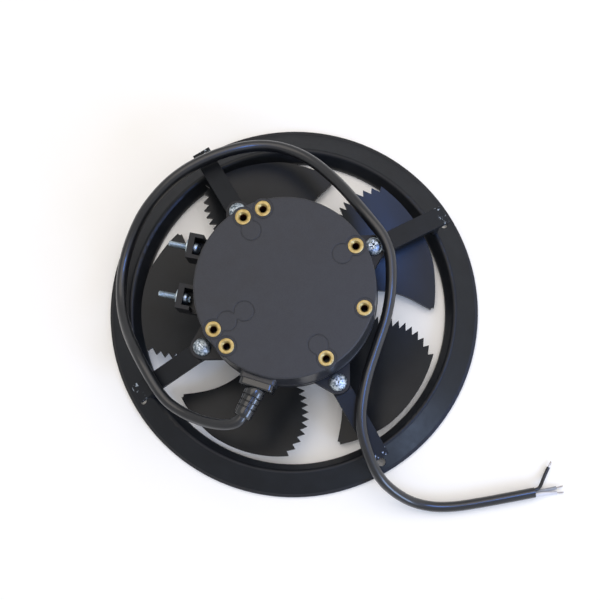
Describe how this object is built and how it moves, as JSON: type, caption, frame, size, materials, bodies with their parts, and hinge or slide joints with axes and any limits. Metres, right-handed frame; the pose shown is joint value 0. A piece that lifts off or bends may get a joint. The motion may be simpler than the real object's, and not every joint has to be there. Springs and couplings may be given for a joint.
{
  "type": "axial fan",
  "caption": "Axial fan with sickle blades and saw-toothed trailing edges in a pressed wall ring, motor on flat bar arms, mains lead with stripped ends",
  "frame": {"origin": "on the shaft's axis, in the plane that the wall ring rests on, motor side up", "axes": "+Z along the shaft towards the motor's rear cover; +X to the picture's right and +Y to its top"},
  "size_m": [0.3068, 0.2608, 0.0595],
  "materials": {
    "black_coated_steel": "satin black powder coat",
    "cast_housing": "matt black glass-filled plastic",
    "cover_plastic": "fine eroded texture, charcoal",
    "seal_rubber": "matt",
    "insert_brass": "turned",
    "zinc_steel": "bright zinc plating",
    "gland_rubber": "smooth, slightly glossy",
    "cable_jacket": "extruded jacket, half gloss",
    "lead_black_insulation": "extruded",
    "lead_grey_insulation": "extruded",
    "lead_white_insulation": "extruded",
    "tinned_copper": "tinned strands",
    "tube_aluminium": "turned",
    "bearing_steel": "ground",
    "core_laminations": "stamped sheets",
    "enamelled_copper": "enamelled wire",
    "board_laminate": "solder mask",
    "capacitor_can": "sleeved cans",
    "ferrite": "sintered",
    "terminal_plastic": "moulded",
    "rotor_steel": "deep-drawn, passivated",
    "impeller_plastic": "moulded, black",
    "spring_steel": "phosphated"
  },
  "bodies": {
    "stator": {"wall_ring": "black_coated_steel", "support_arm_1": "black_coated_steel", "support_arm_2": "black_coated_steel", "support_arm_3": "black_coated_steel", "support_arm_4": "black_coated_steel", "motor_housing": "cast_housing", "rear_cover": "cover_plastic", "cover_seal": "seal_rubber", "threaded_inserts_square": "insert_brass", "threaded_inserts_triangle": "insert_brass", "arm_screws": "zinc_steel", "arm_nuts": "zinc_steel", "pocket_screws": "zinc_steel", "pocket_washers": "zinc_steel", "cable_gland": "gland_rubber", "strain_relief": "gland_rubber", "power_cable": "cable_jacket", "lead_black": "lead_black_insulation", "lead_grey": "lead_grey_insulation", "lead_white": "lead_white_insulation", "wire_ends": "tinned_copper", "bearing_tube": "tube_aluminium", "bearing_front": "bearing_steel", "bearing_rear": "bearing_steel", "stator_core": "core_laminations", "stator_windings": "enamelled_copper", "circuit_board": "board_laminate", "board_posts": "tube_aluminium", "capacitors": "capacitor_can", "line_choke": "ferrite", "terminal_block": "terminal_plastic"},
    "rotor": {"rotor_shaft": "bearing_steel", "rotor_cup": "rotor_steel", "magnet_ring": "ferrite", "impeller": "impeller_plastic", "impeller_screws": "zinc_steel", "shaft_clip": "spring_steel"}
  },
  "joints": [
    {"name": "rotor_spin", "type": "hinge", "parent": "stator", "child": "rotor", "pos_m": [0, 0, 0.02], "axis": [0, 0, 1], "continuous": true}
  ]
}
